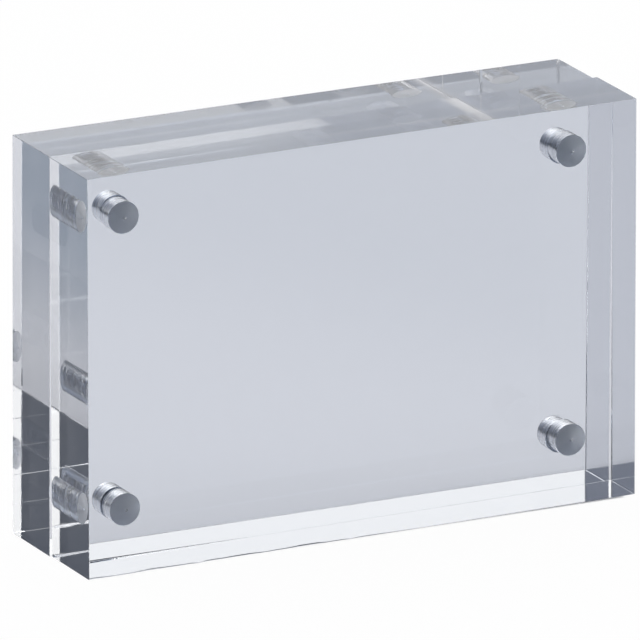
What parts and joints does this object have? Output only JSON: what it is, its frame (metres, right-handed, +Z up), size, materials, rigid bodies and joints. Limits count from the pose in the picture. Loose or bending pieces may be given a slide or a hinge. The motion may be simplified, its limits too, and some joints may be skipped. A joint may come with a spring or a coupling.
{
  "type": "block picture frame",
  "caption": "Free-standing picture frame of thick clear acrylic slabs held face to face by disc magnets near the corners, with a print gap at the seam.",
  "frame": {"origin": "middle of the rear slab's width, on the surface the frame stands on, under the seam", "axes": "+X to the right along the long edge, +Y from the front slab to the rear slab, +Z up"},
  "size_m": [0.1526, 0.0424, 0.1043],
  "materials": {
    "clear_acrylic": "polished, transparent",
    "nickel_plate": "bright nickel plating"
  },
  "bodies": {
    "rear": {"rear_block": "clear_acrylic", "rear_magnet_upper_left": "nickel_plate", "rear_magnet_upper_right": "nickel_plate", "rear_magnet_lower_left": "nickel_plate", "rear_magnet_lower_right": "nickel_plate"},
    "front": {"front_block": "clear_acrylic", "front_magnet_upper_left": "nickel_plate", "front_magnet_upper_right": "nickel_plate", "front_magnet_lower_left": "nickel_plate", "front_magnet_lower_right": "nickel_plate"}
  },
  "joints": [
    {"name": "front_pull", "type": "slide", "parent": "rear", "child": "front", "axis": [0, -1, 0], "range_m": [0, 0.06]}
  ]
}
